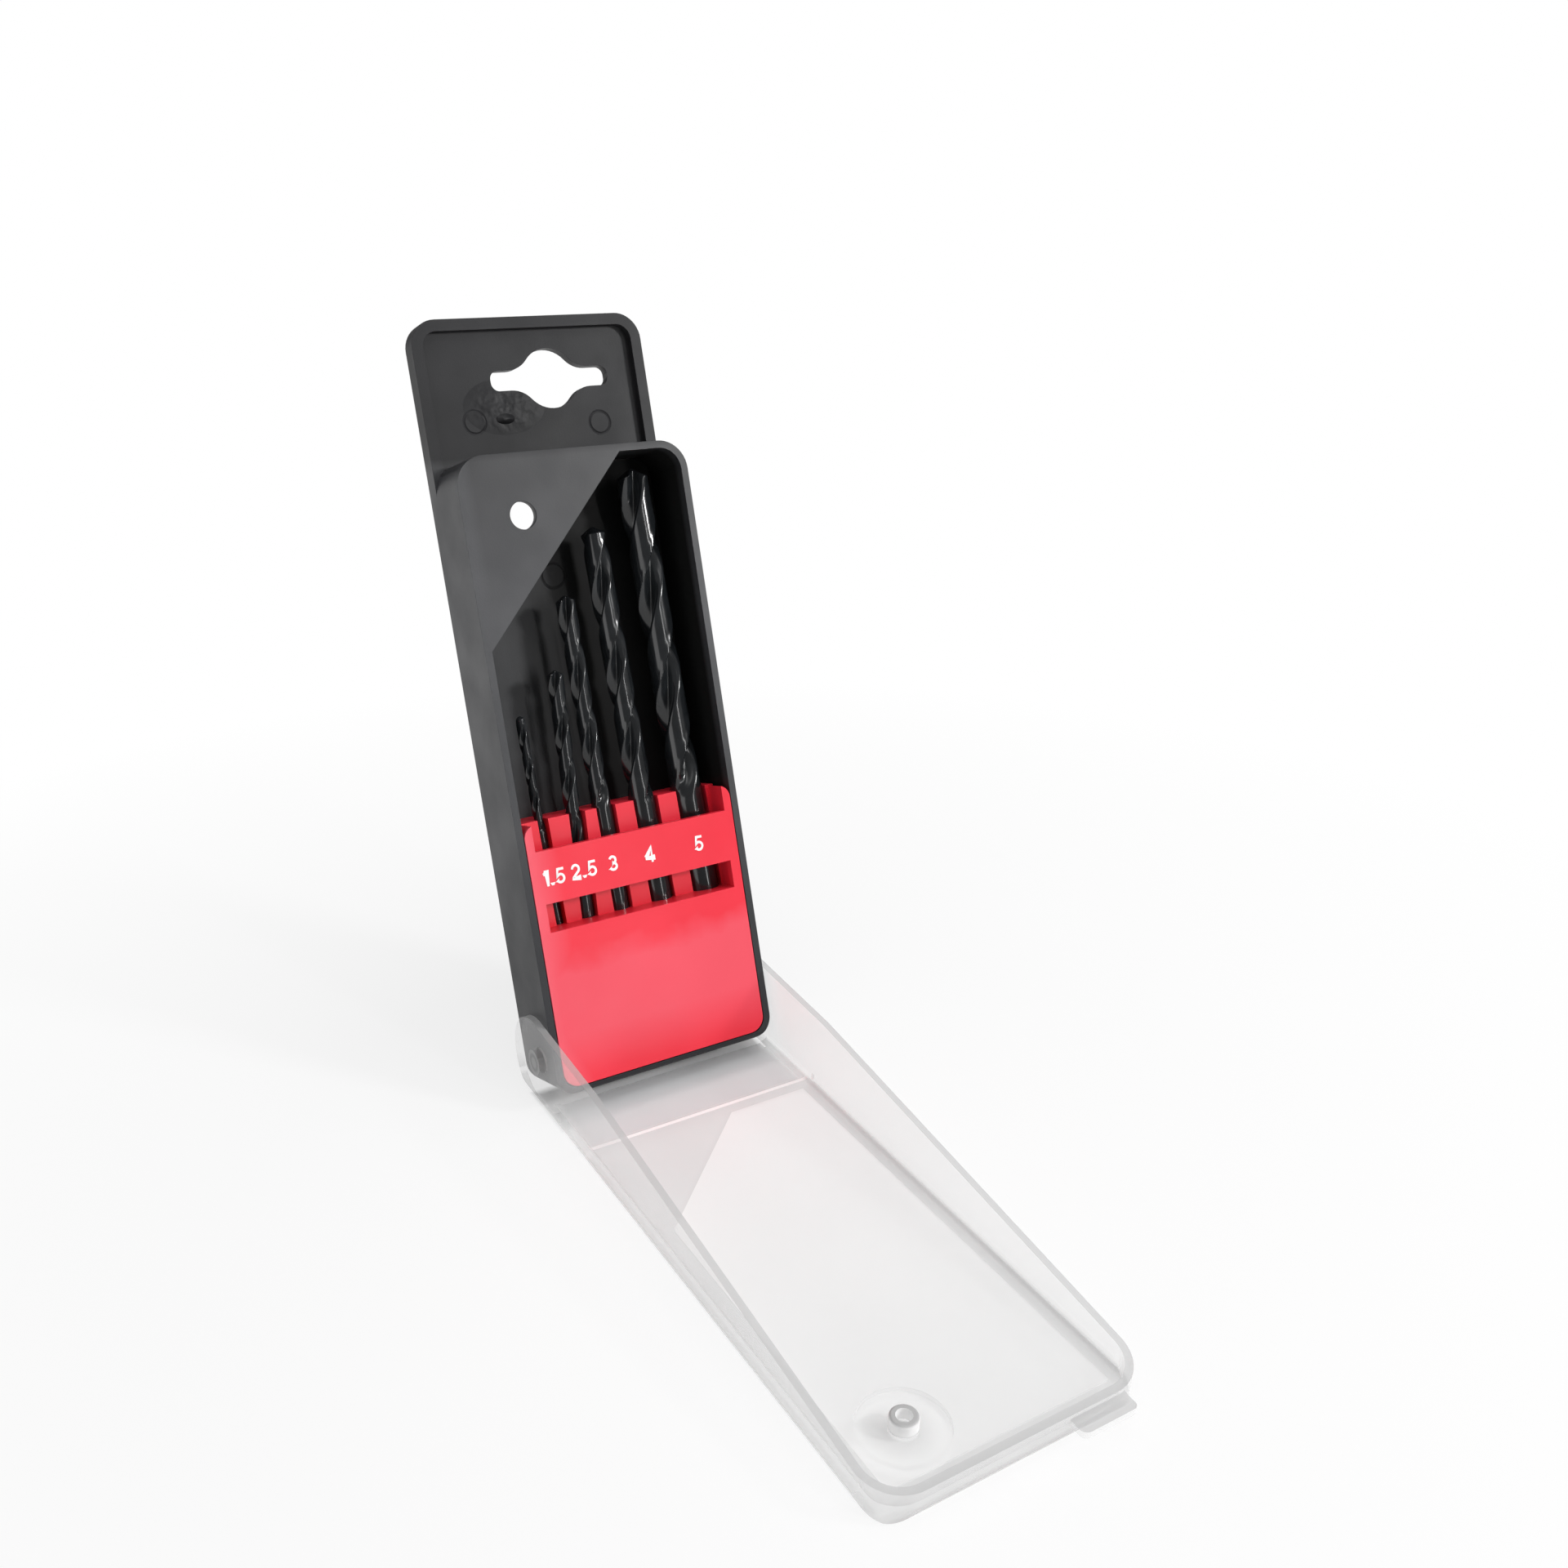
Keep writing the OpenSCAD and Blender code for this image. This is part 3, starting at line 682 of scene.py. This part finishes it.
def world(strength):
    """A white world that lights the case faintly and is seen as plain white."""
    studio = bpy.data.worlds.new("studio")
    bpy.context.scene.world = studio
    studio.use_nodes = True
    n = Tree(studio.node_tree)
    lit = n.tree.nodes["Background"]
    lit.inputs["Color"].default_value = WHITE
    lit.inputs["Strength"].default_value = strength
    plain = n.add("ShaderNodeBackground", Color=WHITE, Strength=1.0)
    path = n.add("ShaderNodeLightPath").outputs
    seen = n.most(path["Is Camera Ray"], path["Is Transmission Ray"])
    n.show(seen, lit.outputs[0], plain.outputs[0], "World Output")


AIM = Vector((0, 0.04, 0.05))


def area(name, place, size, size_y, power):
    """A lamp of the given sizes and watts, turned towards the case."""
    data = bpy.data.lights.new(name, "AREA")
    data.shape = "RECTANGLE"
    data.size = size
    data.size_y = size_y
    data.energy = power
    obj = put(name, data)
    obj.location = place
    obj.rotation_euler = (AIM - Vector(place)).to_track_quat("-Z", "Y").to_euler()


# The photograph's camera: focal length and width in its pixels, and the rows of its place
FOCAL_PX, PHOTO_PX, SENSOR_MM = 1896.785, 1920, 36
CAMERA_ROWS = (
    (0.8469769, 0.1844775, -0.4985962, -0.0961847),
    (-0.5301598, 0.3627845, -0.7663668, -0.1375432),
    (0.0395055, 0.9134306, 0.4050726, 0.1409177),
    (0, 0, 0, 1),
)


def camera():
    data = bpy.data.cameras.new("photo_camera")
    data.sensor_width = SENSOR_MM
    data.lens = FOCAL_PX * SENSOR_MM / PHOTO_PX
    data.clip_start = 0.01
    data.clip_end = 20
    obj = put("photo_camera", data)
    obj.matrix_world = Matrix(CAMERA_ROWS)
    bpy.context.scene.camera = obj


stage_floor()
world(0.27)
area("overhead", (0.0, 0.0, 0.6), 0.5, 0.5, 1.7)
area("right_front", (0.42, -0.38, 0.34), 0.09, 0.09, 2.0)
area("left_fill", (-0.5, -0.2, 0.1), 0.3, 0.3, 0.45)
area("front_strip", (0.2, -0.5, 0.25), 0.035, 0.5, 0.75)
camera()

bpy.context.scene.view_settings.view_transform = "Standard"
